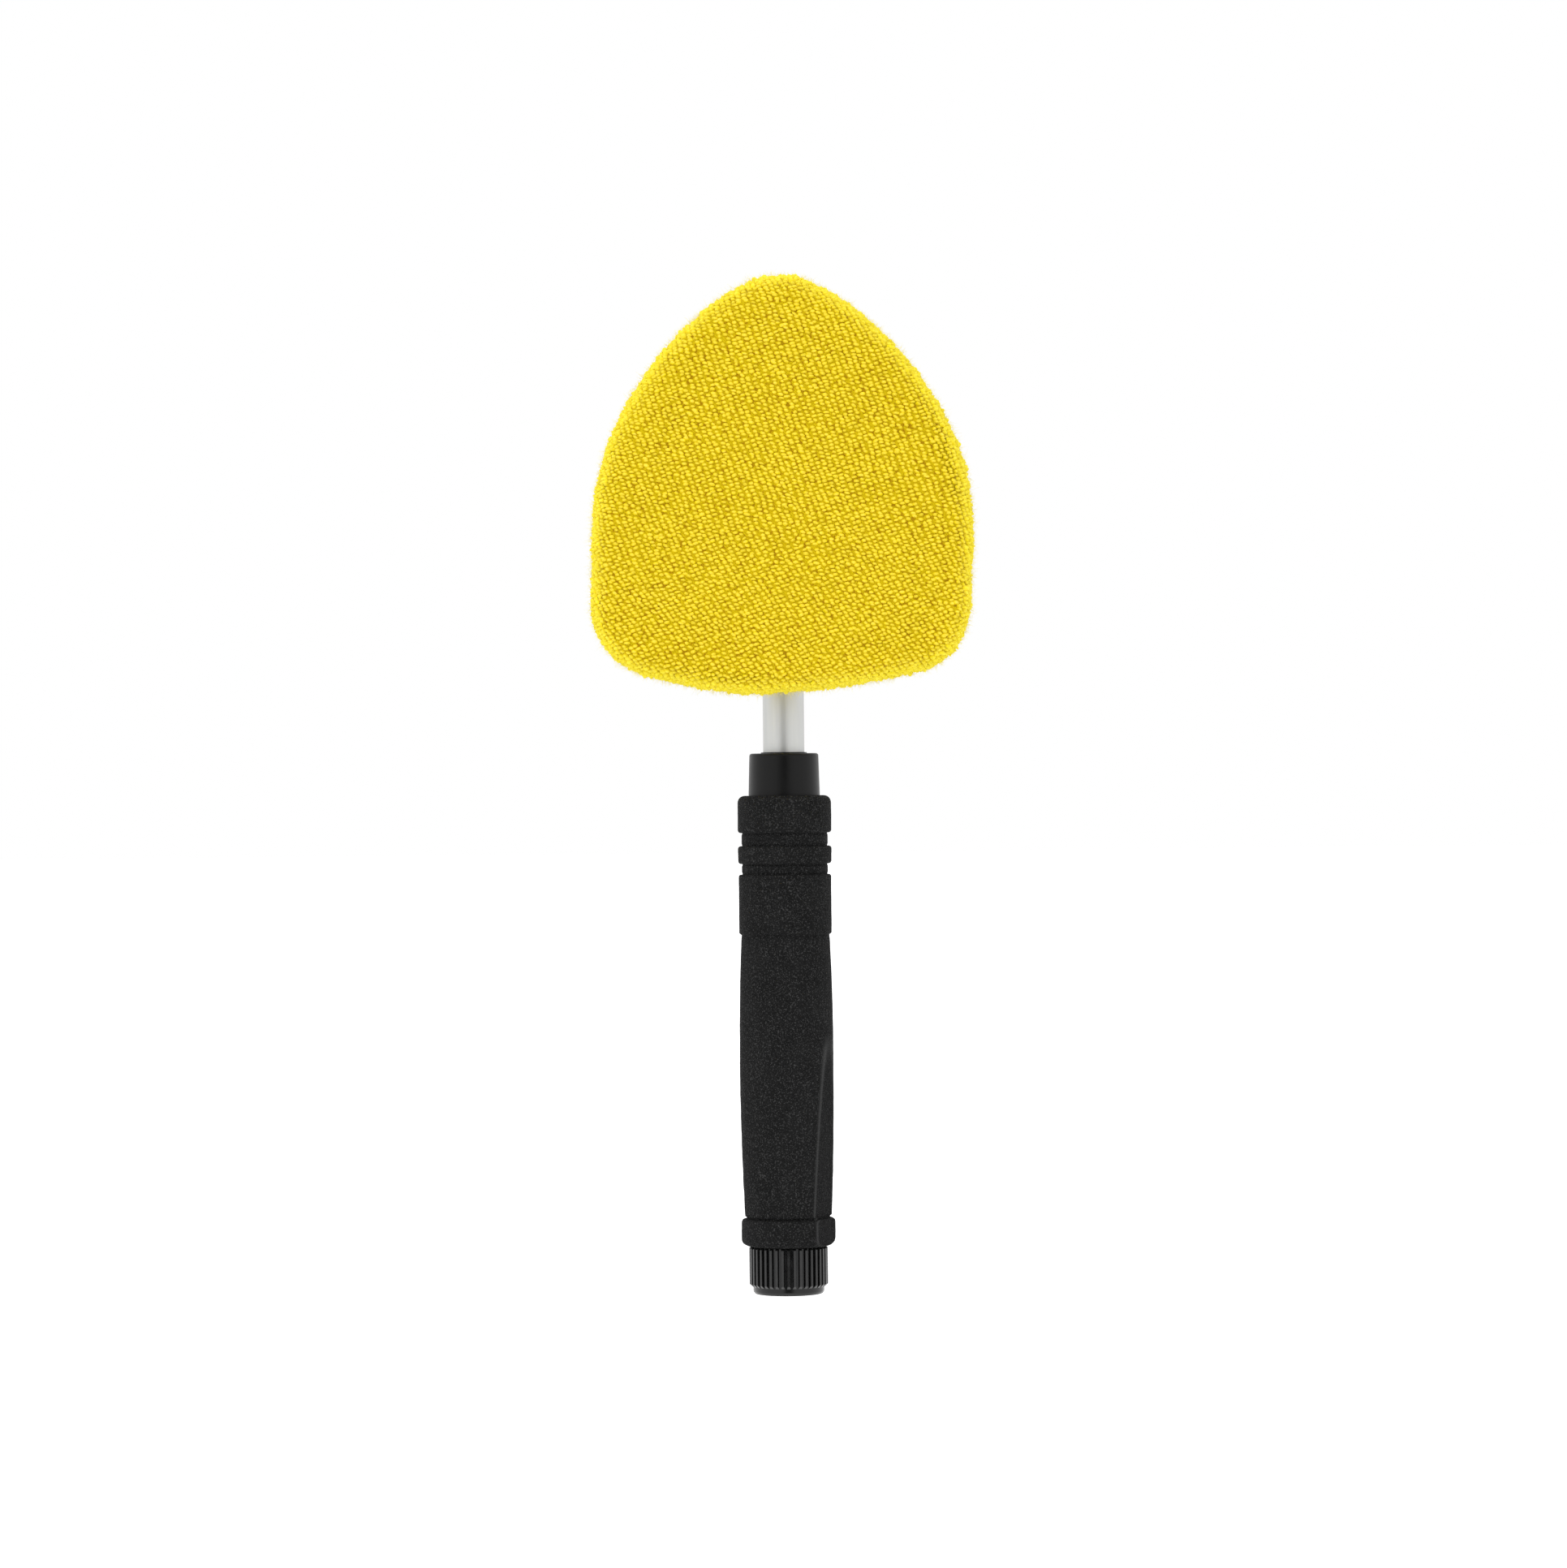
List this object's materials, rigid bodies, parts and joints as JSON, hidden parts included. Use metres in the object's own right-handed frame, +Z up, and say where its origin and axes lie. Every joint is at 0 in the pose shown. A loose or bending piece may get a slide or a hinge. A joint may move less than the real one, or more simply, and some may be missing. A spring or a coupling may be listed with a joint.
{
  "type": "telescopic windscreen cleaning wand",
  "caption": "Pear-shaped terry cleaning pad on a swivel, carried by a twist-lock telescopic pole with a foam grip and a screwed end cap.",
  "frame": {"origin": "on the handle's axis at the flat end of the screwed cap", "axes": "+Z up the handle's axis towards the pad's tip, -Y out of the pad's cleaning face, X across the pad along the swivel bolt"},
  "size_m": [0.1286, 0.0432, 0.3437],
  "materials": {
    "outer_tube": "satin",
    "cap_ferrule": "satin",
    "guide_collar": "satin",
    "guide_bush": "satin",
    "foam_grip": "matte",
    "cap_gasket": "matte",
    "end_cap": "satin",
    "lock_dowel": "satin",
    "lock_cone": "satin",
    "lock_spindle": "satin",
    "inner_tube": "satin",
    "swivel_knuckle": "satin",
    "tube_rivet": "satin",
    "head_plate": "satin",
    "foam_pad": "matte",
    "bonnet_cover": "matte",
    "hem_binding": "matte",
    "hem_elastic": "matte",
    "pivot_bolt": "satin",
    "pivot_nut": "satin",
    "pivot_washers": "satin"
  },
  "bodies": {
    "handle": {"outer_tube": "outer_tube", "cap_ferrule": "cap_ferrule", "guide_collar": "guide_collar", "guide_bush": "guide_bush", "foam_grip": "foam_grip"},
    "cap_seal": {"cap_gasket": "cap_gasket"},
    "end_cap": {"end_cap": "end_cap"},
    "lock": {"lock_dowel": "lock_dowel"},
    "cone": {"lock_cone": "lock_cone"},
    "pole": {"lock_spindle": "lock_spindle", "inner_tube": "inner_tube", "swivel_knuckle": "swivel_knuckle", "tube_rivet": "tube_rivet"},
    "head": {"head_plate": "head_plate", "foam_pad": "foam_pad", "bonnet_cover": "bonnet_cover", "hem_binding": "hem_binding", "hem_elastic": "hem_elastic", "pivot_bolt": "pivot_bolt", "pivot_nut": "pivot_nut", "pivot_washers": "pivot_washers"}
  },
  "joints": [
    {"name": "pole_extend", "type": "slide", "parent": "handle", "child": "lock", "axis": [0, 0, 1], "range_m": [0, 0.13]},
    {"name": "pole_twist", "type": "hinge", "parent": "lock", "child": "pole", "pos_m": [0, 0, 0.032], "axis": [0, 0, 1], "range_deg": [0, 360]},
    {"name": "cone_release", "type": "slide", "parent": "lock", "child": "cone", "axis": [0, 0, -1], "range_m": [0, 0.001]},
    {"name": "head_tilt", "type": "hinge", "parent": "pole", "child": "head", "pos_m": [0, 0, 0.267], "axis": [-1, 0, 0], "range_deg": [0, 180]},
    {"name": "cap_travel", "type": "slide", "parent": "handle", "child": "cap_seal", "axis": [0, 0, -1], "range_m": [0, 0.012]},
    {"name": "cap_turn", "type": "hinge", "parent": "cap_seal", "child": "end_cap", "pos_m": [0, 0, 0], "axis": [0, 0, -1], "range_deg": [0, 1440]}
  ],
  "couplings": [
    {"joint": "cone_release", "follows": "pole_twist", "m_per_rad": 0.00015915},
    {"joint": "cap_travel", "follows": "cap_turn", "m_per_rad": 0.00047746}
  ]
}
